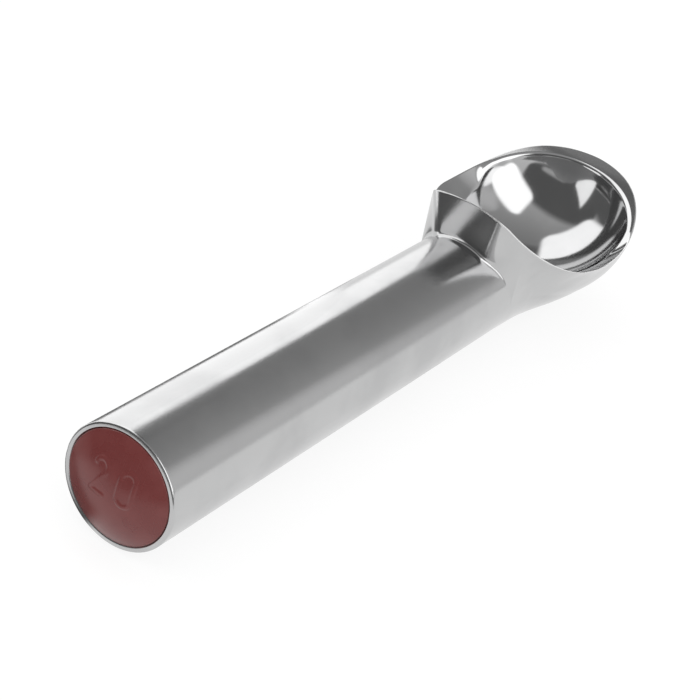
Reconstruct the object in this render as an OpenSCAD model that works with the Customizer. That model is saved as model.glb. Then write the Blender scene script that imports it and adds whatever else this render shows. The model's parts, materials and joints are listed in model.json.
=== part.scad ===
/* [Handle] */
// Outside diameter of the round handle
handle_d = 26; // [24:0.5:26.5]
// Distance from the butt face to the foot of the wall behind the bowl
handle_len = 117; // [100:0.5:135]
// Thickness of the metal round the liquid chamber
handle_wall = 2.8; // [2.2:0.1:3.6]
// Bevel round the handle's open edge
edge_bevel = 0.4; // [0.2:0.1:0.6]

/* [End cap] */
// Width of the metal ring left round the cap
cap_ring = 1.2; // [0.9:0.05:1.6]
// Depth of the recess that takes the cap
cap_seat_depth = 4; // [3:0.5:8]
// How far the dome stands out of the handle
cap_dome_h = 3.4; // [2:0.2:5]
// Thickness of the cap's round shell
cap_wall = 1.6; // [1.2:0.1:2]
// Height of the raised portion number over the dome
number_h = 0.3; // [0.2:0.05:0.6]
// Height of its figures
figure_h = 9; // [7.6:0.2:9.4]

/* [Seal] */
// Length of the inner plug
plug_len = 9; // [7:0.5:14]
// Thickness of the sealing ring in its groove
ring_t = 1.8; // [1.4:0.1:2.2]

/* [Liquid] */
// Height of the liquid's level above the handle's axis
fill_h = 7; // [2:0.5:7]

/* [Scoop head] */
// Width of the head over its rim
head_w = 46.5; // [44:0.5:50]
// Length of the head from the wall's top edge to the tip
head_len = 69.4; // [66:0.2:74]
// Height of the wall's top corners over the handle's axis
wall_top_h = 23.7; // [22:0.1:27]
// Width of the wall over its rounded upright edges
wall_w = 19.2; // [17:0.2:20]
// Height of the rim beside the bowl, where it is lowest
rim_side_h = 8.2; // [7.6:0.2:10]
// Height of the rim at the tip
rim_tip_h = 15.8; // [13:0.2:17]
// Depth of the head from the low rim to its underside
head_depth = 23; // [22:0.2:25]
// Depth of the round bowl below the low rim
bowl_depth = 14.2; // [13:0.1:15.2]
// Width of the metal beside the bowl, at the height of the low rim
side_land = 2.4; // [2:0.1:3.2]
// Distance from the bowl to the tip, at the same height
front_land = 7.1; // [6.4:0.1:8]

/* [Hidden] */
$fn = 96;

// Cuts run past the faces that they open by this much
overrun = 1;
handle_r = handle_d / 2;

// The grip is straight up to a short stop before the wall, and the casting's draft starts there
grip_stop = 5;
grip_len = handle_len - grip_stop;
root_draft = 0.05;

// Wall behind the bowl: it leans back over the handle and has round upright edges and a slightly crowned top
wall_lean = 2.6;
wall_x = handle_len - wall_lean;
wall_crown = 1.1;
corner_r = 2.2;
lean_run = 15.6;
lean_slope = wall_lean / (wall_top_h - handle_r);

// Outline of the head from above: widest and lowest places as shares of its length, and the tip's roundness
wide_share = 0.494;
low_share = 0.387;
wide_d = wide_share * head_len;
low_d = low_share * head_len;
nose_power = 2.57;
nose_root = 1.71;
flare_share = 0.2;
flare_power = 2.24;

// Rise of the rim towards the wall and towards the tip
rear_power = 1.61;
front_power = 2.27;
lip_h = 2;

// The skin leaves the handle's cylinder by this swell, and turns from a walled tube into a deep bowl between two
// shares of the head's length
swell = 0.13;
tube_share = 0.138;
shell_share = 0.79;
tube_end = tube_share * head_len;
shell_start = shell_share * head_len;

// Land round the bowl: it dips towards the middle, most of all behind the bowl
dish_h = 13.4;
dish_peak_share = 0.647;
dish_end_share = 0.74;
dish_peak = dish_peak_share * head_len;
dish_end = dish_end_share * head_len;

// Round bowl, a part of a ball: its radius follows from its depth and from its width between the side lands
mouth_r = head_w / 2 - side_land;
bowl_r = (mouth_r * mouth_r + bowl_depth * bowl_depth) / (2 * bowl_depth);
bowl_x = wall_x + head_len - front_land - mouth_r;
bowl_z = rim_side_h - bowl_depth + bowl_r;

// Steps of the head's skin
skirt_steps = 16;
land_steps = 12;
corner_steps = 4;
rear_steps = 18;
nose_steps = 16;
rear_spread = 1.25;
nose_turn = 89;

// Blind chamber in the handle, drilled from the butt, with a drill's cone at its end
chamber_r = handle_r - handle_wall;
drill_half_angle = 59;
drill_past = 2;
cone_len = chamber_r / tan(drill_half_angle);
chamber_end = handle_len + drill_past - cone_len;

// Recess and cap
cap_seat_r = handle_r - cap_ring;
cap_gap = 0.04;
cap_r = cap_seat_r - cap_gap;
cap_skirt = cap_seat_depth - cap_gap;
dome_r = (cap_r * cap_r + cap_dome_h * cap_dome_h) / (2 * cap_dome_h);

// Portion number: two figures side by side, above the middle of the cap
figure_w_share = 0.52;
stroke_share = 0.1;
pitch_share = 0.66;
number_lift = 3;
figure_w = figure_w_share * figure_h;
stroke = stroke_share * figure_h;
pitch = pitch_share * figure_h;
bend_r = figure_w / 2;

// Plug that closes the chamber, and its sealing ring
plug_set = 1;
plug_gap = 0.05;
ring_gap = 0.03;
groove_play = 0.2;
plug_x = cap_seat_depth + plug_set;
plug_end = plug_x + plug_len;
ring_x = plug_x + plug_len / 2;
ring_mid_r = chamber_r - ring_gap - ring_t / 2;
groove_r = chamber_r - ring_t - 2 * ring_gap;

// Liquid: it stands off the metal by a hair, so that the two solids stay apart
fluid_gap = 0.15;

function clamp(t) = max(0, min(1, t));
function smooth(t) = let (c = clamp(t)) c * c * (3 - 2 * c);
function mix(a, b, t) = a + (b - a) * t;

// Share of the way round the wall's upright corner, at a distance d from the wall
function corner_rise(d) = let (t = 1 - clamp(d / corner_r)) sqrt(1 - t * t);
// Share of the way from the widest place to the tip
function nose(d) = clamp((d - wide_d) / (head_len - wide_d));

// Half width and height of the rim, height of the underside, and the wall's lean
function flare(t) = mix(t, sin(90 * t), mix(flare_share, 1, pow(t, flare_power)));
function rear_w(d) = mix(wall_w, head_w, flare(clamp(d / wide_d))) / 2 - corner_r * (1 - corner_rise(d));
function nose_w(d) = head_w / 2 * pow(1 - pow(nose(d), nose_power), 1 / nose_root);
function rim_w(d) = d < wide_d ? rear_w(d) : nose_w(d);
function rim_z(d) = d < low_d
    ? mix(rim_side_h, wall_top_h, pow(1 - d / low_d, rear_power))
    : mix(rim_side_h, rim_tip_h, pow(smooth((d - low_d) / (head_len - low_d)), front_power));
function under_z(d) = mix(rim_tip_h - lip_h, rim_side_h - head_depth, sqrt(1 - nose(d) * nose(d)));
function lean(d) = lean_slope * (1 - smooth(d / lean_run));

// Half of a section of the skin, from the underside (t = 0) to the rim (t = 1): near the handle a round tube
// with upright walls, and further on a quarter of an ellipse
function tube_r(d) = min(rim_w(d), handle_r + swell);
function tube_point(d, t) = t < 0.5
    ? tube_r(d) * [sin(180 * t), -cos(180 * t)]
    : let (v = 2 * t - 1) [mix(tube_r(d), rim_w(d), v * v), v * rim_z(d)];
function shell_point(d, t) = [rim_w(d) * sin(90 * t), mix(rim_z(d), under_z(d), cos(90 * t))];
function shell_blend(d) = smooth((d - tube_end) / (shell_start - tube_end));
function skin_point(d, t) = mix(tube_point(d, t), shell_point(d, t), shell_blend(d));
function place(d, p) = [wall_x + d + lean(d) * (rim_z(d) - max(p[1], 0)), p[0], p[1]];

// Land across the top of a section, from one rim (share -1) to the other (share 1)
function dish(d) = dish_h * (smooth(d / dish_peak) - smooth((d - dish_peak) / (dish_end - dish_peak)));
function crown(d) = wall_crown * (1 - smooth(d / low_d));
function land_point(d, share) = [share * rim_w(d), rim_z(d) + (crown(d) - dish(d)) * (1 - share * share)];

function ring(d) = concat(
    [for (i = [skirt_steps:-1:1]) let (p = skin_point(d, i / skirt_steps)) place(d, [-p[0], p[1]])],
    [for (i = [0:skirt_steps]) place(d, skin_point(d, i / skirt_steps))],
    [for (i = [1:land_steps - 1]) place(d, land_point(d, 1 - 2 * i / land_steps))]
);
stations = concat(
    [for (i = [0:corner_steps]) corner_r * (1 - cos(90 * i / corner_steps))],
    [for (i = [1:rear_steps]) mix(corner_r, wide_d, pow(i / rear_steps, rear_spread))],
    [for (i = [1:nose_steps]) mix(wide_d, head_len, sin(nose_turn * i / nose_steps))]
);

// The cylinder runs on inside the head to just past the place where the skin leaves it
leave_d = tube_end;
root_x = wall_x + leave_d + lean(leave_d) * rim_z(leave_d);

// Flat faces over an end section: a fan under its land, then level strips from side to side
function turn(f, back) = back ? [for (i = [len(f) - 1:-1:0]) f[i]] : f;
function wall_faces(n, first, back) = let (m = 2 * skirt_steps) concat(
    [for (i = [m - 1:n - 1]) turn([first + 1, first + i, first + (i + 1) % n], back)],
    [for (k = [1:skirt_steps - 2]) each [
        turn([first + k, first + k + 1, first + m - 1 - k], back),
        turn([first + k, first + m - 1 - k, first + m - k], back)
    ]],
    [turn([first + skirt_steps - 1, first + skirt_steps, first + skirt_steps + 1], back)]
);

module head_skin() {
    rings = [for (d = stations) ring(d)];
    n = len(rings[0]);
    last = len(rings) - 1;
    points = [for (r = rings) each r];
    sides = [for (k = [0:last - 1], i = [0:n - 1])
        let (j = (i + 1) % n, a = k * n + i, b = k * n + j, c = (k + 1) * n + j, e = (k + 1) * n + i)
        each [[a, c, b], [a, e, c]]];
    polyhedron(points, concat(wall_faces(n, 0, false), sides, wall_faces(n, last * n, true)));
}

// Cylinder or cone along the handle, from one distance to another
module round_bar(r, x0, x1) {
    translate([x0, 0, 0])
        rotate([0, 90, 0])
            cylinder(r = r, h = x1 - x0);
}
module cone_bar(r0, r1, x0, x1) {
    translate([x0, 0, 0])
        rotate([0, 90, 0])
            cylinder(r1 = r0, r2 = r1, h = x1 - x0);
}

// Room of the chamber, or the same drawn in by a gap on every side
module chamber_room(x0, gap) {
    r = chamber_r - gap;
    x1 = chamber_end - gap;
    rotate([0, 90, 0])
        rotate_extrude()
            polygon([[0, x0], [r, x0], [r, x1], [0, x1 + r / tan(drill_half_angle)]]);
}

// Ring that takes the sharp edge off the cylinder's open end
module butt_bevel() {
    difference() {
        round_bar(handle_r + overrun, -overrun, edge_bevel);
        cone_bar(handle_r - edge_bevel - overrun, handle_r, -overrun, edge_bevel);
    }
}

module dipper_body() {
    color("silver")
        difference() {
            union() {
                round_bar(handle_r, 0, grip_len);
                cone_bar(handle_r, handle_r - root_draft, grip_len, root_x);
                head_skin();
            }
            translate([bowl_x, 0, bowl_z])
                sphere(r = bowl_r);
            round_bar(cap_seat_r, -overrun, cap_seat_depth);
            chamber_room(cap_seat_depth - overrun, 0);
            butt_bevel();
        }
}

module heat_fluid() {
    side = 2 * chamber_r;
    color("teal")
        difference() {
            chamber_room(plug_end + fluid_gap, fluid_gap);
            translate([0, -chamber_r, fill_h])
                cube([handle_len + drill_past, side, side]);
        }
}

module seal_plug() {
    groove_w = ring_t + groove_play;
    color("lightgrey")
        difference() {
            round_bar(chamber_r - plug_gap, plug_x, plug_end);
            difference() {
                round_bar(chamber_r + overrun, ring_x - groove_w / 2, ring_x + groove_w / 2);
                round_bar(groove_r, ring_x - groove_w, ring_x + groove_w);
            }
        }
}

module plug_o_ring() {
    color("black")
        translate([ring_x, 0, 0])
            rotate([0, 90, 0])
                rotate_extrude()
                    translate([ring_mid_r, 0])
                        circle(d = ring_t);
}

// Figures of the number, flat, with their middle at the origin
module figure_nought() {
    straight = figure_h / 2 - bend_r;
    difference() {
        union() {
            for (side = [-1, 1])
                translate([0, side * straight])
                    circle(r = bend_r);
            translate([-bend_r, -straight])
                square([figure_w, 2 * straight]);
        }
        for (side = [-1, 1])
            translate([0, side * straight])
                circle(r = bend_r - stroke);
        translate([stroke - bend_r, -straight])
            square([figure_w - 2 * stroke, 2 * straight]);
    }
}
module figure_two() {
    straight = figure_h / 2 - bend_r;
    foot = stroke - figure_h / 2;
    difference() {
        translate([0, straight])
            circle(r = bend_r);
        translate([0, straight])
            circle(r = bend_r - stroke);
        translate([-figure_w, straight - figure_w])
            square([figure_w * 2, figure_w]);
    }
    polygon([
        [bend_r - stroke, straight],
        [bend_r, straight],
        [stroke - bend_r, foot],
        [-bend_r, foot]
    ]);
    translate([-bend_r, -figure_h / 2])
        square([figure_w, stroke]);
}
module number_prism() {
    rotate([90, 0, -90])
        translate([0, number_lift, 0])
            linear_extrude(cap_dome_h + overrun) {
                translate([-pitch / 2, 0])
                    figure_two();
                translate([pitch / 2, 0])
                    figure_nought();
            }
}

module end_cap() {
    dome_x = dome_r - cap_dome_h;
    color("firebrick")
        difference() {
            union() {
                intersection() {
                    round_bar(cap_r, -cap_dome_h - overrun, cap_skirt);
                    translate([dome_x, 0, 0])
                        sphere(r = dome_r);
                }
                intersection() {
                    number_prism();
                    translate([dome_x, 0, 0])
                        sphere(r = dome_r + number_h);
                }
            }
            intersection() {
                round_bar(cap_r - cap_wall, -cap_dome_h - overrun, cap_skirt + overrun);
                translate([dome_x, 0, 0])
                    sphere(r = dome_r - cap_wall);
            }
        }
}

dipper_body();
heat_fluid();
seal_plug();
plug_o_ring();
end_cap();
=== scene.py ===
import bpy
import bmesh
import json
import math
from mathutils import Matrix, Vector

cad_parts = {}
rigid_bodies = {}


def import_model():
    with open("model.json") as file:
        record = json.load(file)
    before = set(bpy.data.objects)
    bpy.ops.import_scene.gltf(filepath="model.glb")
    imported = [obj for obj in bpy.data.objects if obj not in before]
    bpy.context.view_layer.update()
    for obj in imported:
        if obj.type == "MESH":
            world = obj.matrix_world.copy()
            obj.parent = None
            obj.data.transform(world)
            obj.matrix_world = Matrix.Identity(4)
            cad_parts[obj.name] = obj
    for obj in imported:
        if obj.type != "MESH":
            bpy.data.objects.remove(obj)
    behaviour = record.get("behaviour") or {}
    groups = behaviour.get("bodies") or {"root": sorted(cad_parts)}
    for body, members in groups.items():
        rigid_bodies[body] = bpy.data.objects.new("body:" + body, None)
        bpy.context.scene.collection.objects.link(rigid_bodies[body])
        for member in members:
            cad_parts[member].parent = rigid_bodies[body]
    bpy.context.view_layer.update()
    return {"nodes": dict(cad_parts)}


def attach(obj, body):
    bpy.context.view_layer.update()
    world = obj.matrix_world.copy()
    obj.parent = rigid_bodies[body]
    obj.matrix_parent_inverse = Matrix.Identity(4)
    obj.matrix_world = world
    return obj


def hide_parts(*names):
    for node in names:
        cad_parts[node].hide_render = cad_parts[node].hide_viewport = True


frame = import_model()
mm = 0.001
mergeGap = 0.002  # millimetres within which points of a mesh are one
print("frame loaded:", sorted(frame["nodes"]))


def clampShare(t):
    return max(0.0, min(1.0, t))


def smoothShare(t):
    c = clampShare(t)
    return c * c * (3 - 2 * c)


def blend(a, b, t):
    return a + (b - a) * t


def bend(a, corner, b, t):  # a soft corner from a to b
    return a.lerp(corner, t).lerp(corner.lerp(b, t), t)


def gridPatch(bm, columns, rows, place, mark=None):
    # A grid whose corners are laid on a surface by place(column, row), and may be marked row by row
    made = bmesh.ops.create_grid(bm, x_segments=columns, y_segments=rows, size=0.5)
    for vert in made["verts"]:
        column = round((vert.co.x + 0.5) * columns)
        row = round((vert.co.y + 0.5) * rows)
        vert.co = place(column, row)
        if mark:
            mark(vert, row)


def evenStops(count, firstGap, lastGap, length):
    # Shares of a length, with a wider or narrower first and last step
    first = firstGap / length
    last = 1 - lastGap / length
    return [0.0] + [blend(first, last, k / (count - 2)) for k in range(count - 1)] + [1.0]


def finishMesh(bm, name, nodeName, sharpAngle=35):
    bmesh.ops.remove_doubles(bm, verts=bm.verts, dist=mergeGap)
    bmesh.ops.dissolve_degenerate(bm, edges=bm.edges, dist=mergeGap / 4)
    bmesh.ops.recalc_face_normals(bm, faces=bm.faces)
    bmesh.ops.scale(bm, vec=(mm, mm, mm), verts=bm.verts)
    for face in bm.faces:
        face.smooth = True
    for edge in bm.edges:
        if len(edge.link_faces) == 2 and edge.calc_face_angle() > math.radians(sharpAngle):
            edge.smooth = False
    mesh = bpy.data.meshes.new(name)
    bm.to_mesh(mesh)
    bm.free()
    piece = bpy.data.objects.new(name, mesh)
    bpy.context.scene.collection.objects.link(piece)
    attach(piece, "root")
    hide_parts(nodeName)
    print(name, "faces:", len(mesh.polygons))
    return piece


# The dipper's metal body, all lengths in millimetres
head = {
    "handleR": 13.0, "wallX": 114.4, "lean": 2.6, "leanRun": 15.6, "wallTop": 23.7, "wallWidth": 19.2,
    "crown": 1.1, "cornerR": 2.2, "width": 46.5, "length": 69.38, "wide": 0.494, "low": 0.387,
    "rimSide": 8.2, "rimTip": 15.8, "depth": 22.97, "lip": 2.0, "nosePower": 2.57, "noseRoot": 1.71,
    "flare": 0.2, "flarePower": 2.24, "rearPower": 1.61, "frontPower": 2.27, "swell": 0.13, "swellRun": 8.0,
    "tube": 0.138, "shell": 0.79, "dish": 13.4, "dishPeak": 0.647, "dishEnd": 0.74,
    "bowlDepth": 14.2, "sideLand": 2.4, "frontLand": 7.1,
    "pinch": 0.24, "creaseSoft": 1.4, "creaseFade": 25.0, "rimSoft": 0.55, "bowlSoft": 0.8,
}
handle = {
    "bevel": 0.4, "bevelSteps": 4, "mouth": 0.25, "recessR": 11.8, "recessDeep": 4.0, "chamberR": 10.2,
    "chamberEnd": 112.87, "coneTip": 119.0, "rings": 26, "firstRing": 0.8, "lastRing": 3.0,
}
counts = {  # columns along the rim, then rows of each surface
    "wall": 12, "corner": 12, "flank": 14, "side": 56, "nose": 84,
    "half": 34, "land": 44, "bowl": 46, "soft": 6,
}
wideD = head["wide"] * head["length"]
lowD = head["low"] * head["length"]
mouthR = head["width"] / 2 - head["sideLand"]
bowlR = (mouthR ** 2 + head["bowlDepth"] ** 2) / (2 * head["bowlDepth"])
bowlD = head["length"] - head["frontLand"] - mouthR
bowlZ = head["rimSide"] - head["bowlDepth"] + bowlR
bowlMiddle = Vector((head["wallX"] + bowlD, 0, bowlZ))
leanSlope = head["lean"] / (head["wallTop"] - head["handleR"])


def cornerRise(d):
    t = 1 - clampShare(d / head["cornerR"])
    return math.sqrt(1 - t * t)


def noseShare(d):
    return clampShare((d - wideD) / (head["length"] - wideD))


def flareShare(t):
    turn = math.sin(math.radians(90 * t))
    return blend(t, turn, blend(head["flare"], 1, t ** head["flarePower"]))


def rimHalfWidth(d):
    if d < wideD:
        wide = blend(head["wallWidth"], head["width"], flareShare(clampShare(d / wideD)))
        return wide / 2 - head["cornerR"] * (1 - cornerRise(d))
    return head["width"] / 2 * (1 - noseShare(d) ** head["nosePower"]) ** (1 / head["noseRoot"])


def rimHeight(d):
    if d < lowD:
        return blend(head["rimSide"], head["wallTop"], (1 - clampShare(d / lowD)) ** head["rearPower"])
    rise = smoothShare((d - lowD) / (head["length"] - lowD)) ** head["frontPower"]
    return blend(head["rimSide"], head["rimTip"], rise)


def undersideHeight(d):
    n = noseShare(d)
    return blend(head["rimTip"] - head["lip"], head["rimSide"] - head["depth"], math.sqrt(1 - n * n))


def leanAt(d):
    return leanSlope * (1 - smoothShare(d / head["leanRun"]))


def setPoint(d, y, z):
    # A point of the head: distance from the wall, which leans back over the handle, and place across and up
    return Vector((head["wallX"] + d + leanAt(d) * (rimHeight(d) - max(z, 0)), y, z))


def landHeight(d, y):
    side = min(1.0, abs(y) / max(rimHalfWidth(d), 1e-6))
    dish = smoothShare(d / (head["dishPeak"] * head["length"]))
    dish -= smoothShare((d / head["length"] - head["dishPeak"]) / (head["dishEnd"] - head["dishPeak"]))
    crown = head["crown"] * (1 - smoothShare(d / lowD))
    return rimHeight(d) + (crown - head["dish"] * dish) * (1 - side * side)


# The side of the wall meets the handle's flank at this distance
flankD = 0.0
step = 4.0
while step > 1e-6:
    if rimHalfWidth(flankD + step) < head["handleR"]:
        flankD += step
    step /= 2


def skinPoint(d, share, t):
    # t runs from the keel (0) past the flank (0.5) to the rim (1); share is the place across the wall's top
    z = landHeight(d, share * rimHalfWidth(d))
    if d < flankD:
        y = share * rimHalfWidth(d)
        footY = y * (1 - head["pinch"] * (1 - smoothShare(d / flankD)))  # the wall is narrower at its foot
        foot = math.sqrt(max(head["handleR"] ** 2 - footY ** 2, 0))
        return setPoint(d, blend(footY, y, 2 * t - 1), blend(foot, z, 2 * t - 1))
    swollen = head["swell"] * smoothShare((d - flankD) / head["swellRun"])
    tubeR = min(rimHalfWidth(d), head["handleR"] + swollen)
    if t < 0.5:
        turn = math.radians(180 * t)
        tube = Vector((tubeR * math.sin(turn), -tubeR * math.cos(turn)))
    else:
        v = 2 * t - 1
        tube = Vector((blend(tubeR, rimHalfWidth(d), v * v), v * z))
    turn = math.radians(90 * t)
    shell = Vector((rimHalfWidth(d) * math.sin(turn), blend(z, undersideHeight(d), math.cos(turn))))
    length = head["length"]
    y, z = tube.lerp(shell, smoothShare((d / length - head["tube"]) / (head["shell"] - head["tube"])))
    return setPoint(d, y, z)


def bowlEdgeAt(turn):
    # Distance from the bowl's middle, seen from above, at which the land meets the bowl
    near, far = 8.0, 25.0  # it lies between these, which close in on it
    for k in range(40):
        reach = (near + far) / 2
        z = landHeight(bowlD + reach * math.cos(turn), reach * math.sin(turn))
        if reach * reach + (z - bowlZ) ** 2 < bowlR ** 2:
            near = reach
        else:
            far = reach
    return near


# Stops along the rim from the wall's middle to the tip: distance from the wall, and share of the half width
rimStops = []
for k in range(counts["wall"]):
    rimStops.append((0.0, k / counts["wall"]))
for k in range(counts["corner"]):
    rimStops.append((head["cornerR"] * (1 - math.cos(math.radians(90 * k / counts["corner"]))), 1.0))
for k in range(counts["flank"] + 1):
    rimStops.append((blend(head["cornerR"], flankD, k / counts["flank"]), 1.0))
creaseColumns = len(rimStops) - 1
for k in range(1, counts["side"]):
    rimStops.append((blend(flankD, wideD, k / counts["side"]), 1.0))
for k in range(counts["nose"]):
    rimStops.append((blend(wideD, head["length"], math.sin(math.radians(89.6 * k / counts["nose"]))), 1.0))
rimStops.append((head["length"], 1.0))
columns = len(rimStops) - 1
half = counts["half"]
soft = counts["soft"]


def lineLength(place, steps=12):
    spots = [place(k / steps) for k in range(steps + 1)]
    return sum((b - a).length for a, b in zip(spots, spots[1:]))


def landLine(d, share):
    # The line over the land from a stop on the rim to the bowl's edge, as a function that goes from 0 to 1
    y = share * rimHalfWidth(d)
    turn = math.atan2(y, d - bowlD)
    reach = bowlEdgeAt(turn)
    endD, endY = bowlD + reach * math.cos(turn), reach * math.sin(turn)

    def at(f):
        dd, yy = blend(d, endD, f), blend(y, endY, f)
        return setPoint(dd, yy, landHeight(dd, yy))
    return at


def makeBody():
    bm = bmesh.new()
    edgeWear = bm.verts.layers.float.new("edgeWear")
    lifts, uppers, rims, lands, bowls = [], [], [], [], []
    for d, share in rimStops:
        rise = lineLength(lambda w: skinPoint(d, share, 0.5 + 0.5 * w))
        land = landLine(d, share)
        run = lineLength(land)
        foot = skinPoint(d, share, 0.5)
        fade = 0.0
        if d < flankD:
            fromSide = 90 - math.degrees(math.asin(min(1, foot.y / head["handleR"])))
            fade = clampShare(fromSide / head["creaseFade"])
        lifts.append(head["creaseSoft"] * fade)

        # Up the side, round the rim, over the land, round the bowl's edge and down into the bowl
        start, stop = lifts[-1] / rise, 1 - head["rimSoft"] / rise
        upper = [skinPoint(d, share, 0.5 + 0.5 * blend(start, stop, k / half)) for k in range(half + 1)]
        start, stop = head["rimSoft"] / run, 1 - head["bowlSoft"] / run
        over = [land(blend(start, stop, k / counts["land"])) for k in range(counts["land"] + 1)]
        rim = [bend(upper[-1], land(0), over[0], k / soft) for k in range(soft + 1)]
        edge = land(1)
        ray = (edge - bowlMiddle).normalized()
        down = Vector((0, 0, -1))
        gap = head["bowlSoft"] / bowlR / ray.angle(down)
        into = [bowlMiddle + bowlR * ray.slerp(down, blend(gap, 1, k / counts["bowl"]))
                for k in range(counts["bowl"] + 1)]
        edgeRows = [bend(over[-1], edge, into[0], k / soft) for k in range(soft + 1)]
        uppers.append(upper)
        rims.append(rim)
        lands.append(over)
        bowls.append(edgeRows + into[1:])
    gridPatch(bm, columns, half, lambda c, r: uppers[c][r])

    # Painted highlight mask over the rows that round the rim
    def markRimHighlight(vert, row):
        vert[edgeWear] = min(1, 1.5 * math.sin(math.pi * row / soft))
    gridPatch(bm, columns, soft, lambda c, r: rims[c][r], markRimHighlight)
    gridPatch(bm, columns, counts["land"], lambda c, r: lands[c][r])
    gridPatch(bm, columns, len(bowls[0]) - 1, lambda c, r: bowls[c][r])

    # Under half of the head, from the keel to the flank
    lowerStops = [d for d, share in rimStops[creaseColumns:]]
    gridPatch(bm, len(lowerStops) - 1, half, lambda c, r: skinPoint(lowerStops[c], 1.0, 0.5 * r / half))

    # Handle: round columns that end on the crease, then the butt, the cap's recess and the chamber
    inside = [(0.0, handle["recessR"] + handle["mouth"]), (handle["mouth"], handle["recessR"]),
              (handle["recessDeep"], handle["recessR"]),
              (handle["recessDeep"], handle["chamberR"]), (handle["chamberEnd"], handle["chamberR"]),
              (handle["coneTip"], 0.0)]
    stops = evenStops(handle["rings"], handle["firstRing"], handle["lastRing"], head["wallX"])

    def handlePoint(column, row):
        if column <= creaseColumns:
            d, share = rimStops[column]
            foot = skinPoint(d, share, 0.5)
            turn = math.atan2(foot.y, foot.z)
            end = foot.x - lifts[column]
        else:
            turn = math.radians(90 + 90 * (column - creaseColumns) / half)
            end = skinPoint(flankD, 1.0, 0.5).x
        if row < len(inside):
            x, r = inside[len(inside) - 1 - row]
        else:
            x, r = end * stops[row - len(inside)], head["handleR"]
        return Vector((x, r * math.sin(turn), r * math.cos(turn)))
    gridPatch(bm, creaseColumns + half, len(inside) + len(stops) - 1, handlePoint)

    # Small fillet between the handle and the wall
    def creasePoint(column, row):
        d, share = rimStops[column]
        foot = skinPoint(d, share, 0.5)
        return bend(foot - Vector((lifts[column], 0, 0)), foot, uppers[column][0], row / soft)
    gridPatch(bm, creaseColumns, soft, creasePoint)

    bmesh.ops.remove_doubles(bm, verts=bm.verts, dist=mergeGap)
    bmesh.ops.mirror(bm, geom=bm.verts[:] + bm.edges[:] + bm.faces[:], matrix=Matrix.Identity(4),
                     merge_dist=mergeGap, axis="Y")
    bmesh.ops.remove_doubles(bm, verts=bm.verts, dist=mergeGap)
    bmesh.ops.recalc_face_normals(bm, faces=bm.faces)

    # The butt's outer corner is broken
    ring = [e for e in bm.edges if all(abs(v.co.x) < 1e-6 and abs(v.co.yz.length - head["handleR"]) < 1e-4
                                       for v in e.verts)]
    bmesh.ops.bevel(bm, geom=ring, offset=handle["bevel"], segments=handle["bevelSteps"], profile=0.5,
                    affect="EDGES", material=-1)
    openEdges = [e for e in bm.edges if len(e.link_faces) != 2]
    print("body open edges:", len(openEdges))
    return finishMesh(bm, "dipperMetal", "dipper_body")


body = makeBody()


# The red cap: a domed disc with the raised portion number
cap = {
    "radius": 11.76, "rise": 3.4, "skirt": 3.96, "wall": 1.6, "edge": 0.35, "edgeSteps": 5, "edgeDrop": 0.1,
    "skirtSoft": 0.2, "hollowX": 0.7, "numberHigh": 0.2, "figureHigh": 7.7, "figureWide": 3.8, "stroke": 0.8,
    "pitch": 6.1, "lift": 2.9, "aside": 0.5, "soft": 0.5, "hookFrom": -38, "hookTo": 168, "cells": 170,
}
domeR = (cap["radius"] ** 2 + cap["rise"] ** 2) / (2 * cap["rise"])
figureR = cap["figureWide"] / 2
straight = cap["figureHigh"] / 2 - figureR
foot = cap["stroke"] / 2 - cap["figureHigh"] / 2


def barGap(a, b, fromA, toB):  # distance of a point from a bar's middle line
    ux, uy = toB[0] - fromA[0], toB[1] - fromA[1]
    share = clampShare(((a - fromA[0]) * ux + (b - fromA[1]) * uy) / (ux * ux + uy * uy))
    return math.hypot(a - fromA[0] - share * ux, b - fromA[1] - share * uy)


def noughtGap(a, b):
    return abs(math.hypot(a, max(abs(b) - straight, 0)) - figureR + cap["stroke"] / 2)


def twoGap(a, b):
    # A hook that turns into a slanting bar, and a flat foot
    middle = figureR - cap["stroke"] / 2
    low, tip = [(middle * math.cos(math.radians(turn)), straight + middle * math.sin(math.radians(turn)))
                for turn in (cap["hookFrom"], cap["hookTo"])]
    gaps = [barGap(a, b, low, (-middle, foot)), barGap(a, b, (-middle, foot), (middle, foot))]
    if cap["hookFrom"] < math.degrees(math.atan2(b - straight, a)) < cap["hookTo"]:
        gaps.append(abs(math.hypot(a, b - straight) - middle))
    else:
        gaps.append(math.hypot(a - tip[0], b - tip[1]))
    return min(gaps)


def capPoint(y, z):
    # A point on the dome, raised where a figure stands
    a, b = -y - cap["aside"], z - cap["lift"]
    gap = min(twoGap(a + cap["pitch"] / 2, b), noughtGap(a - cap["pitch"] / 2, b))
    raised = cap["numberHigh"] * smoothShare((cap["stroke"] / 2 + cap["soft"] / 2 - gap) / cap["soft"])
    outward = Vector((0, y, z))
    middle = Vector((domeR - cap["rise"], 0, 0))
    outward.x = -math.sqrt(domeR ** 2 - y * y - z * z)
    return middle + outward * (1 + raised / domeR)


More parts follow.
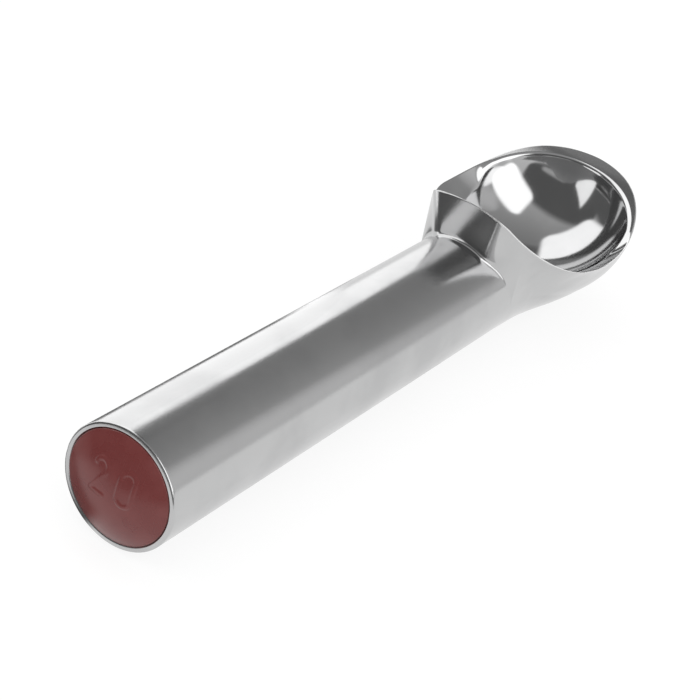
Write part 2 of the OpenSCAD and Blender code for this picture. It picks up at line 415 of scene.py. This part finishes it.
def makeCap():
    bm = bmesh.new()
    face = cap["radius"] - cap["edge"]

    def place(column, row):
        a, b = 2 * column / cap["cells"] - 1, 2 * row / cap["cells"] - 1
        return capPoint(face * a * math.sqrt(1 - b * b / 2), face * b * math.sqrt(1 - a * a / 2))
    gridPatch(bm, cap["cells"], cap["cells"], place)

    # Rounded edge, skirt and the hollow behind the dome
    edgeX = capPoint(face, 0).x
    profile = []
    for k in range(1, cap["edgeSteps"] + 1):
        share = k / cap["edgeSteps"]
        turn = math.radians(90 * share)
        x = edgeX + cap["edge"] * (1 - math.cos(turn)) + cap["edgeDrop"] * share
        profile.append((x, face + cap["edge"] * math.sin(turn)))
    inner = cap["radius"] - cap["wall"]
    profile += [(cap["skirt"] - cap["skirtSoft"], cap["radius"]),
                (cap["skirt"], cap["radius"] - cap["skirtSoft"]),
                (cap["skirt"], inner), (cap["hollowX"], inner)]
    for x, r in profile:
        border = [e for e in bm.edges if e.is_boundary]
        grown = bmesh.ops.extrude_edge_only(bm, edges=border)["geom"]
        for vert in grown:
            if isinstance(vert, bmesh.types.BMVert):
                flat = vert.co.yz.normalized() * r
                vert.co = (x, flat.x, flat.y)
    bmesh.ops.holes_fill(bm, edges=[e for e in bm.edges if e.is_boundary], sides=0)
    return finishMesh(bm, "domedCap", "end_cap", 40)


capPiece = makeCap()


# Node helpers: a value or a socket goes into every input
def feed(tree, socket, value):
    if isinstance(value, bpy.types.NodeSocket):
        tree.links.new(value, socket)
    else:
        socket.default_value = value


def number(tree, operation, *values, clamp=False):
    node = tree.nodes.new("ShaderNodeMath")
    node.operation = operation
    node.use_clamp = clamp
    for socket, value in zip(node.inputs, values):
        feed(tree, socket, value)
    return node.outputs[0]


def arrow(tree, operation, *values):
    node = tree.nodes.new("ShaderNodeVectorMath")
    node.operation = operation
    for socket, value in zip(node.inputs, values):
        feed(tree, socket, value)
    return node.outputs["Value" if operation in ("DOT_PRODUCT", "LENGTH", "DISTANCE") else "Vector"]


def ease(tree, value, start, stop, low=0.0, high=1.0):
    # From low to high, softly, while the value goes from start to stop
    node = tree.nodes.new("ShaderNodeMapRange")
    node.interpolation_type = "SMOOTHSTEP"
    limits = {"Value": value, "From Min": start, "From Max": stop, "To Min": low, "To Max": high}
    for name, given in limits.items():
        feed(tree, node.inputs[name], given)
    return node.outputs["Result"]


def product(tree, *values):
    total = values[0]
    for value in values[1:]:
        total = number(tree, "MULTIPLY", total, value)
    return total


def rest(tree, value):
    return number(tree, "SUBTRACT", 1.0, value)


def mixed(tree, share, first, second):
    node = tree.nodes.new("ShaderNodeMix")
    node.data_type = "RGBA"
    feed(tree, node.inputs["Factor"], share)
    feed(tree, node.inputs[6], first)
    feed(tree, node.inputs[7], second)
    return node.outputs[2]


def noise(tree, place, scale, detail, rough=0.5):
    node = tree.nodes.new("ShaderNodeTexNoise")
    for name, given in {"Vector": place, "Scale": scale, "Detail": detail, "Roughness": rough}.items():
        feed(tree, node.inputs[name], given)
    return node.outputs[0]


def newGroup(name, inputs, outputs):
    tree = bpy.data.node_groups.new(name, "ShaderNodeTree")
    for title, kind, value in inputs:
        socket = tree.interface.new_socket(name=title, in_out="INPUT", socket_type=kind)
        if value is not None:
            socket.default_value = value
    for title in outputs:
        tree.interface.new_socket(name=title, in_out="OUTPUT", socket_type="NodeSocketFloat")
    return tree, tree.nodes.new("NodeGroupInput").outputs, tree.nodes.new("NodeGroupOutput").inputs


def useGroup(tree, group, **values):
    node = tree.nodes.new("ShaderNodeGroup")
    node.node_tree = group
    for name, value in values.items():
        feed(tree, node.inputs[name], value)
    return node.outputs


surface = {
    "fineDetail": 3.0, "fineRough": 0.6, "broadDetail": 4.0, "rubbedFrom": 0.38, "rubbedTo": 0.64,
    "bandPitch": 6.0, "ringDetail": 2.0,
    "hairTurns": (0.35, 1.9), "hairTilt": 0.6, "hairStretch": 22.0, "hairDetail": 2.0,
    "hairFrom": 0.66, "hairTo": 0.76,
}


def makeGrainGroup():
    # Fine grain of a cast, moulded or blasted skin, with broad soft patches where it is rubbed smoother
    tree, given, made = newGroup("fineGrain", [
        ("Place", "NodeSocketVector", None), ("Size", "NodeSocketFloat", 2500.0),
        ("Patch", "NodeSocketFloat", 60.0),
    ], ["Height", "Rubbed"])
    fine = noise(tree, given["Place"], given["Size"], surface["fineDetail"], surface["fineRough"])
    broad = noise(tree, given["Place"], given["Patch"], surface["broadDetail"])
    tree.links.new(fine, made["Height"])
    tree.links.new(ease(tree, broad, surface["rubbedFrom"], surface["rubbedTo"]), made["Rubbed"])
    return tree


def makeRingGroup():
    # Marks that a tool or a buffing wheel leaves in circles: noise along the radius alone
    tree, given, made = newGroup("turningRings", [
        ("Radius", "NodeSocketFloat", 0.0), ("Pitch", "NodeSocketFloat", 0.0005),
    ], ["Height", "Band"])
    for pitchShare, output in ((1.0, "Height"), (surface["bandPitch"], "Band")):
        node = tree.nodes.new("ShaderNodeTexNoise")
        node.noise_dimensions = "1D"
        ring = number(tree, "DIVIDE", given["Radius"], number(tree, "MULTIPLY", given["Pitch"], pitchShare))
        feed(tree, node.inputs["W"], ring)
        node.inputs["Scale"].default_value = 1.0
        node.inputs["Detail"].default_value = surface["ringDetail"]
        tree.links.new(node.outputs[0], made[output])
    return tree


def makeScratchGroup():
    # Hairline scratches: two layers of noise stretched along a crossing pair of directions
    tree, given, made = newGroup("hairlines", [
        ("Place", "NodeSocketVector", None), ("Size", "NodeSocketFloat", 120.0),
        ("Amount", "NodeSocketFloat", 0.5),
    ], ["Mask"])
    total = 0.0
    for turn in surface["hairTurns"]:
        mapping = tree.nodes.new("ShaderNodeMapping")
        mapping.inputs["Rotation"].default_value = (turn, surface["hairTilt"] * turn, turn)
        mapping.inputs["Scale"].default_value = (1.0, surface["hairStretch"], 1.0)
        tree.links.new(given["Place"], mapping.inputs["Vector"])
        streaks = noise(tree, mapping.outputs[0], given["Size"], surface["hairDetail"])
        line = ease(tree, streaks, surface["hairFrom"], surface["hairTo"])
        total = number(tree, "ADD", total, line, clamp=True)
    tree.links.new(number(tree, "MULTIPLY", total, given["Amount"]), made["Mask"])
    return tree


grainGroup = makeGrainGroup()
ringGroup = makeRingGroup()
scratchGroup = makeScratchGroup()
print("node groups built")


def newMaterial(name):
    material = bpy.data.materials.new(name)
    material.use_nodes = True
    tree = material.node_tree
    place = tree.nodes.new("ShaderNodeTexCoord").outputs["Object"]
    return material, tree, tree.nodes["Principled BSDF"], place


def addBump(tree, shader, height, distance, strength=1.0):
    bump = tree.nodes.new("ShaderNodeBump")
    bump.inputs["Distance"].default_value = distance
    bump.inputs["Strength"].default_value = strength
    tree.links.new(height, bump.inputs["Height"])
    tree.links.new(bump.outputs[0], shader.inputs["Normal"])


def parts(tree, vector):
    node = tree.nodes.new("ShaderNodeSeparateXYZ")
    tree.links.new(vector, node.inputs[0])
    return node.outputs


# The casting's metal: a satin handle, a brighter head and the brightest, buffed bowl
aluminium = {
    "pale": (0.60, 0.601, 0.603, 1), "dull": (0.545, 0.546, 0.549, 1), "patch": 55.0, "spread": 0.05,
    "handleRough": 0.17, "headRough": 0.11, "bowlRough": 0.075, "headFrom": 0.113, "headTo": 0.121,
    "bowlFrom": 0.12, "bowlTo": 0.02, "grain": 2600.0, "grainDeep": 0.000012, "headSmooth": 0.6,
    "ringPitch": 0.0009, "ringDeep": 0.0000016, "bandShare": 4.0, "scratchSize": 110.0, "scratches": 0.05,
    "wearAndHighlight": (0.95, 0.95, 0.95, 1), "highlightRough": 0.34, "highlightFrom": -0.001, "highlightTo": -0.006,
}


def aluminiumMaterial():
    material, tree, shader, place = newMaterial("castAluminium")
    x, y, z = parts(tree, place)[:3]
    onHead = ease(tree, x, aluminium["headFrom"], aluminium["headTo"])
    middle = tuple(bowlMiddle * mm)
    inBowl = ease(tree, arrow(tree, "DISTANCE", place, middle), (bowlR + aluminium["bowlFrom"]) * mm,
                  (bowlR + aluminium["bowlTo"]) * mm)
    grain = useGroup(tree, grainGroup, Place=place, Size=aluminium["grain"], Patch=aluminium["patch"])
    radius = arrow(tree, "LENGTH", arrow(tree, "MULTIPLY", arrow(tree, "SUBTRACT", place, middle), (1, 1, 0)))
    rings = useGroup(tree, ringGroup, Radius=radius, Pitch=aluminium["ringPitch"])
    scratch = useGroup(tree, scratchGroup, Place=place, Size=aluminium["scratchSize"],
                       Amount=aluminium["scratches"])[0]

    # Painted highlight: along the near side of the rim a thin line is painted pale, and made rougher
    rim = tree.nodes.new("ShaderNodeAttribute")
    rim.attribute_name = "edgeWear"
    wearAndHighlight = product(tree, rim.outputs["Fac"], ease(tree, y, aluminium["highlightFrom"], aluminium["highlightTo"]))

    rough = ease(tree, onHead, 0.0, 1.0, aluminium["handleRough"], aluminium["headRough"])
    buffed = product(tree, inBowl, aluminium["bowlRough"] - aluminium["headRough"])
    rough = number(tree, "ADD", rough, buffed)
    uneven = product(tree, number(tree, "SUBTRACT", grain["Rubbed"], 0.5), -aluminium["spread"])
    rough = number(tree, "MULTIPLY_ADD", wearAndHighlight, aluminium["highlightRough"], rough)
    rough = number(tree, "ADD", number(tree, "ADD", rough, uneven), scratch, clamp=True)
    tree.links.new(rough, shader.inputs["Roughness"])
    colour = mixed(tree, grain["Rubbed"], aluminium["dull"], aluminium["pale"])
    tree.links.new(mixed(tree, wearAndHighlight, colour, aluminium["wearAndHighlight"]), shader.inputs["Base Color"])
    shader.inputs["Metallic"].default_value = 1

    # Cast grain outside the bowl, turning marks inside it
    skin = product(tree, grain["Height"], rest(tree, product(tree, onHead, aluminium["headSmooth"])))
    skin = product(tree, skin, rest(tree, inBowl))
    turned = number(tree, "ADD", rings["Height"], product(tree, rings["Band"], aluminium["bandShare"]))
    turned = product(tree, product(tree, turned, inBowl), aluminium["ringDeep"] / aluminium["grainDeep"])
    addBump(tree, shader, number(tree, "ADD", skin, turned), aluminium["grainDeep"])
    return material


capFinish = {
    "deep": (0.163, 0.031, 0.029, 1), "wearAndHighlight": (0.205, 0.049, 0.045, 1), "patch": 170.0, "haze": 0.5,
    "rough": 0.27, "spread": 0.1, "grain": 3200.0, "grainDeep": 0.00001, "scratchSize": 260.0,
    "scratches": 0.35, "refraction": 1.5,
}


def capMaterial():
    material, tree, shader, place = newMaterial("redPlastic")
    grain = useGroup(tree, grainGroup, Place=place, Size=capFinish["grain"], Patch=capFinish["patch"])
    scratch = useGroup(tree, scratchGroup, Place=place, Size=capFinish["scratchSize"],
                       Amount=capFinish["scratches"])[0]
    haze = number(tree, "ADD", product(tree, grain["Rubbed"], capFinish["haze"]), scratch, clamp=True)
    tree.links.new(mixed(tree, haze, capFinish["deep"], capFinish["wearAndHighlight"]), shader.inputs["Base Color"])
    rough = number(tree, "ADD", product(tree, haze, capFinish["spread"]), capFinish["rough"])
    tree.links.new(rough, shader.inputs["Roughness"])
    shader.inputs["IOR"].default_value = capFinish["refraction"]
    addBump(tree, shader, grain["Height"], capFinish["grainDeep"])
    return material


plugFinish = {
    "pale": (0.70, 0.69, 0.66, 1), "dull": (0.56, 0.55, 0.53, 1), "rough": 0.24, "pitch": 0.00035,
    "ringDeep": 0.000012, "ringRough": 0.15, "scratchSize": 300.0, "scratches": 0.3, "scratchRough": 0.3,
}


def plugMaterial():
    material, tree, shader, place = newMaterial("turnedPlug")
    radius = arrow(tree, "LENGTH", arrow(tree, "MULTIPLY", place, (0, 1, 1)))
    rings = useGroup(tree, ringGroup, Radius=radius, Pitch=plugFinish["pitch"])
    scratch = useGroup(tree, scratchGroup, Place=place, Size=plugFinish["scratchSize"],
                       Amount=plugFinish["scratches"])[0]
    colour = mixed(tree, rings["Band"], plugFinish["dull"], plugFinish["pale"])
    tree.links.new(colour, shader.inputs["Base Color"])
    rough = number(tree, "ADD", product(tree, rings["Height"], plugFinish["ringRough"]), plugFinish["rough"])
    rough = number(tree, "ADD", rough, product(tree, scratch, plugFinish["scratchRough"]), clamp=True)
    tree.links.new(rough, shader.inputs["Roughness"])
    shader.inputs["Metallic"].default_value = 1
    addBump(tree, shader, rings["Height"], plugFinish["ringDeep"])
    return material


rubberFinish = {
    "deep": (0.012, 0.012, 0.013, 1), "bloom": (0.045, 0.045, 0.047, 1), "rough": 0.55, "spread": 0.2,
    "grain": 4200.0, "grainDeep": 0.00001, "patch": 420.0,
}


def rubberMaterial():
    material, tree, shader, place = newMaterial("sealRubber")
    grain = useGroup(tree, grainGroup, Place=place, Size=rubberFinish["grain"], Patch=rubberFinish["patch"])
    colour = mixed(tree, grain["Rubbed"], rubberFinish["deep"], rubberFinish["bloom"])
    tree.links.new(colour, shader.inputs["Base Color"])
    rough = number(tree, "ADD", product(tree, grain["Rubbed"], rubberFinish["spread"]), rubberFinish["rough"])
    tree.links.new(rough, shader.inputs["Roughness"])
    addBump(tree, shader, grain["Height"], rubberFinish["grainDeep"])
    return material


fluidFinish = {
    "clear": (0.16, 0.42, 0.46, 1), "cloudy": (0.24, 0.52, 0.54, 1), "rough": 0.06, "spread": 0.04,
    "grain": 260.0, "patch": 90.0, "refraction": 1.36,
}


def fluidMaterial():
    material, tree, shader, place = newMaterial("heatFluid")
    grain = useGroup(tree, grainGroup, Place=place, Size=fluidFinish["grain"], Patch=fluidFinish["patch"])
    colour = mixed(tree, grain["Rubbed"], fluidFinish["clear"], fluidFinish["cloudy"])
    tree.links.new(colour, shader.inputs["Base Color"])
    rough = number(tree, "ADD", product(tree, grain["Height"], fluidFinish["spread"]), fluidFinish["rough"])
    tree.links.new(rough, shader.inputs["Roughness"])
    shader.inputs["IOR"].default_value = fluidFinish["refraction"]
    return material


body.data.materials.append(aluminiumMaterial())
capPiece.data.materials.append(capMaterial())
hidden = {"heat_fluid": fluidMaterial(), "seal_plug": plugMaterial(), "plug_o_ring": rubberMaterial()}
for obj in bpy.data.objects:
    for nodeName, material in hidden.items():
        if obj.type == "MESH" and obj.name.startswith(nodeName):
            for slot in obj.material_slots:
                slot.material = material
print("materials placed on", len(hidden) + 2, "pieces")


# Light panels that only reflections see, on a far dome. Each has the direction of its middle as azimuth and
# elevation, its roll, half width and half height as shares of the distance, the softness of its edge and its
# brightness. Later ones lie in front.
panels = {
    "paleSide": (-52, 20, -35, 0.20, 0.50, 0.30, 0.66),
    "darkRear": (178, 30, 0, 1.50, 0.58, 0.25, 0.13),
    "darkLeft": (118, 0, 0, 0.60, 0.34, 0.16, 0.14),
    "darkTop": (30, 57, 0, 0.26, 0.17, 0.20, 0.16),
    "lowStrip": (-162, 10, 12, 0.30, 0.06, 0.12, 0.55),
    "sideStrip": (-78, 13, 0, 0.31, 0.12, 0.08, 1.55),
    "leftBox": (80, 41, -38, 0.52, 0.56, 0.12, 1.6),
    "backBox": (38, 13, 0, 0.22, 0.44, 0.08, 1.45),
    "rightBox": (-103, 34, -25, 0.37, 0.53, 0.12, 1.85),
}
domeLight = {
    "level": 0.56, "rise": -0.20, "ahead": -0.20, "left": -0.08, "radius": 6.0, "about": (0.1, 0, 0),
    "cornerFrom": 1.75, "cornerTo": 1.3,
}
lamps = {  # azimuth, elevation, distance, width, height, share of the whole light
    "leftLamp": (75, 45, 1.2, 1.2, 1.0, 0.16),
    "rightLamp": (-104, 38, 1.2, 1.0, 1.0, 0.16),
    "frontLamp": (175, 55, 1.4, 1.0, 0.8, 0.10),
}
floorLook = {
    "colour": (0.9, 0.9, 0.9, 1), "rough": 0.9, "height": -0.0142, "half": 3.0,
    "seen": 0.74, "seenWhite": 1.1, "mirrored": 0.96, "bright": 0.88,  # shares held up, and how white
}
# Painted shadow and shade on the floor, seen only in reflections: x and y of the middle, half length, half
# width, softness and depth
shades = {
    "shadowBehind": (0.063, 0.0240, 0.069, 0.0175, 0.005, 0.90),
    "besideButt": (-0.30, 0.34, 0.298, 0.30, 0.010, 0.80),
    "shadeBehindButt": (-0.64, 0.0, 0.60, 2.0, 0.010, 0.82),
}
# A small card behind the object that glows, a painted light which only reflections see, with a painted shadow
# along its foot
card = {
    "y": 0.040, "left": 0.004, "right": 0.122, "top": 0.047, "soft": 0.006, "bright": 1.38,
    "foot": -0.0008, "footSoft": 0.0025, "footEnd": 0.115, "footFade": 0.02, "footDark": 0.88,
}
skyLight = {"all": 0.75, "seen": 0.25}
view = {
    "place": (-0.23040772, -0.15198357, 0.20977941), "forward": (0.76403544, 0.37833484, -0.52260175),
    "right": (0.55367976, -0.80031071, 0.23009019), "up": (0.33119265, 0.46515107, 0.82094209),
    "focus": 1880, "frame": 700, "sensor": 36, "nearest": 0.01, "farthest": 20,
}


def outwardOf(azimuth, elevation):
    flat, rise = math.radians(azimuth), math.radians(elevation)
    return Vector((math.cos(rise) * math.cos(flat), math.cos(rise) * math.sin(flat), math.sin(rise)))


def onStage(name, bm, material):
    mesh = bpy.data.meshes.new(name)
    bm.to_mesh(mesh)
    bm.free()
    piece = bpy.data.objects.new(name, mesh)
    bpy.context.scene.collection.objects.link(piece)
    piece.data.materials.append(material)
    return piece


def mixShaders(tree, share, first, second):
    mix = tree.nodes.new("ShaderNodeMixShader")
    for socket, value in zip(mix.inputs, (share, first, second)):
        tree.links.new(value, socket)
    tree.links.new(mix.outputs[0], tree.nodes["Material Output"].inputs[0])


def panelMaterial():
    material, tree, shader, place = newMaterial("panelLight")
    tree.nodes.remove(shader)
    ray = arrow(tree, "NORMALIZE", arrow(tree, "SUBTRACT", place, domeLight["about"]))
    slope = (domeLight["ahead"], domeLight["left"], domeLight["rise"])
    light = number(tree, "ADD", arrow(tree, "DOT_PRODUCT", ray, slope), domeLight["level"])
    for azimuth, elevation, roll, halfWide, halfHigh, softness, bright in panels.values():
        out = outwardOf(azimuth, elevation)
        across = out.cross(Vector((0, 0, 1))).normalized()
        upward = across.cross(out)
        lean = math.radians(roll)
        across, upward = (across * math.cos(lean) + upward * math.sin(lean),
                          upward * math.cos(lean) - across * math.sin(lean))
        ahead = number(tree, "MAXIMUM", arrow(tree, "DOT_PRODUCT", ray, tuple(out)), 0.1)
        share = ease(tree, ahead, 0.1, 0.25)  # nothing behind the panel's own half of the dome
        corner = 0.0
        for direction, reach in ((across, halfWide), (upward, halfHigh)):
            aside = number(tree, "DIVIDE", arrow(tree, "DOT_PRODUCT", ray, tuple(direction)), ahead)
            edge = ease(tree, number(tree, "ABSOLUTE", aside), reach + softness / 2, reach - softness / 2)
            share = product(tree, share, edge)
            near = number(tree, "DIVIDE", aside, reach)
            corner = number(tree, "MULTIPLY_ADD", near, near, corner)
        share = product(tree, share, ease(tree, corner, domeLight["cornerFrom"], domeLight["cornerTo"]))
        light = number(tree, "MULTIPLY_ADD", number(tree, "SUBTRACT", bright, light), share, light)
    glow = tree.nodes.new("ShaderNodeEmission")
    tree.links.new(light, glow.inputs["Strength"])
    tree.links.new(glow.outputs[0], tree.nodes["Material Output"].inputs[0])
    return material


def floorMaterial():
    # Lit and shadowed by the lamps, with part of its white held up for the camera and for reflections, where
    # painted shade patches darken it
    material, tree, shader, place = newMaterial("paleFloor")
    shader.inputs["Base Color"].default_value = floorLook["colour"]
    shader.inputs["Roughness"].default_value = floorLook["rough"]
    shader.inputs["Specular IOR Level"].default_value = 0.0
    path = tree.nodes.new("ShaderNodeLightPath").outputs
    x, y, z = parts(tree, place)[:3]
    level = floorLook["bright"]
    # Painted shade patches, which reflections alone see
    for middleX, middleY, halfLong, halfWide, softness, dark in shades.values():
        share = dark
        for spot, middle, reach in ((x, middleX, halfLong), (y, middleY, halfWide)):
            aside = number(tree, "ABSOLUTE", number(tree, "SUBTRACT", spot, middle))
            share = product(tree, share, ease(tree, aside, reach + softness / 2, reach - softness / 2))
        level = product(tree, level, rest(tree, share))
    mirrored = number(tree, "MAXIMUM", path["Is Glossy Ray"], path["Is Transmission Ray"])
    white = product(tree, path["Is Camera Ray"], floorLook["seenWhite"])
    glow = tree.nodes.new("ShaderNodeEmission")
    tree.links.new(number(tree, "MULTIPLY_ADD", mirrored, level, white), glow.inputs["Strength"])
    share = product(tree, mirrored, floorLook["mirrored"])
    share = number(tree, "MULTIPLY_ADD", path["Is Camera Ray"], floorLook["seen"], share)
    mixShaders(tree, share, shader.outputs[0], glow.outputs[0])
    return material


def cardMaterial():
    material, tree, shader, place = newMaterial("whiteCard")
    tree.nodes.remove(shader)
    x, y, z = parts(tree, place)[:3]
    soft = card["soft"]
    there = product(tree, ease(tree, x, card["left"], card["left"] + soft),
                    ease(tree, x, card["right"], card["right"] - soft),
                    ease(tree, z, card["top"], card["top"] - soft))
    # Painted shadow along the card's foot, fading out towards its right end
    foot = ease(tree, z, card["foot"], card["foot"] - card["footSoft"], 0.0, card["footDark"])
    foot = product(tree, foot, ease(tree, x, card["footEnd"], card["footEnd"] - card["footFade"]))
    glow = tree.nodes.new("ShaderNodeEmission")
    tree.links.new(product(tree, card["bright"], rest(tree, foot)), glow.inputs["Strength"])
    clear = tree.nodes.new("ShaderNodeBsdfTransparent")
    mixShaders(tree, there, clear.outputs[0], glow.outputs[0])
    return material


def onlyMirrored(piece):
    # Seen in reflections alone, and lights nothing
    piece.visible_camera = False
    piece.visible_diffuse = False
    piece.visible_shadow = False
    piece.visible_transmission = False


bm = bmesh.new()
bmesh.ops.create_grid(bm, x_segments=1, y_segments=1, size=floorLook["half"])
bmesh.ops.translate(bm, vec=(domeLight["about"][0], 0, floorLook["height"]), verts=bm.verts)
onStage("floor", bm, floorMaterial())

bm = bmesh.new()
bmesh.ops.create_icosphere(bm, subdivisions=5, radius=domeLight["radius"])
bmesh.ops.translate(bm, vec=domeLight["about"], verts=bm.verts)
onlyMirrored(onStage("panelDome", bm, panelMaterial()))

bm = bmesh.new()
bmesh.ops.create_grid(bm, x_segments=1, y_segments=1, size=0.5)
bmesh.ops.rotate(bm, cent=(0, 0, 0), matrix=Matrix.Rotation(math.radians(90), 3, "X"), verts=bm.verts)
cardSize = (card["right"] - card["left"], 1, card["top"] - floorLook["height"])
cardMiddle = ((card["left"] + card["right"]) / 2, card["y"], (card["top"] + floorLook["height"]) / 2)
bmesh.ops.scale(bm, vec=cardSize, verts=bm.verts)
bmesh.ops.translate(bm, vec=cardMiddle, verts=bm.verts)
onlyMirrored(onStage("whiteCard", bm, cardMaterial()))

for name, (azimuth, elevation, distance, wide, high, share) in lamps.items():
    light = bpy.data.lights.new(name, "AREA")
    light.shape = "RECTANGLE"
    light.size = wide
    light.size_y = high
    light.energy = share * math.pi ** 2 * distance ** 2
    lamp = bpy.data.objects.new(name, light)
    bpy.context.scene.collection.objects.link(lamp)
    out = outwardOf(azimuth, elevation)
    turn = out.to_track_quat("Z", "Y").to_matrix().to_4x4()
    lamp.matrix_world = Matrix.Translation(Vector(domeLight["about"]) + out * distance) @ turn
    lamp.visible_camera = False
    lamp.visible_glossy = False

world = bpy.data.worlds.new("studio")
bpy.context.scene.world = world
world.use_nodes = True
sky = world.node_tree
seenWhite = sky.nodes.new("ShaderNodeLightPath").outputs["Is Camera Ray"]
sky.nodes["Background"].inputs["Color"].default_value = (1, 1, 1, 1)
skyStrength = number(sky, "MULTIPLY_ADD", seenWhite, skyLight["seen"], skyLight["all"])
sky.links.new(skyStrength, sky.nodes["Background"].inputs["Strength"])

camera = bpy.data.objects.new("camera", bpy.data.cameras.new("camera"))
bpy.context.scene.collection.objects.link(camera)
turned = Matrix((Vector(view["right"]), Vector(view["up"]), -Vector(view["forward"]))).transposed().to_4x4()
camera.matrix_world = Matrix.Translation(view["place"]) @ turned
camera.data.lens = view["focus"] * view["sensor"] / view["frame"]
camera.data.sensor_width = view["sensor"]
camera.data.clip_start = view["nearest"]
camera.data.clip_end = view["farthest"]
bpy.context.scene.camera = camera
bpy.context.scene.view_settings.view_transform = "Standard"
print("studio set")
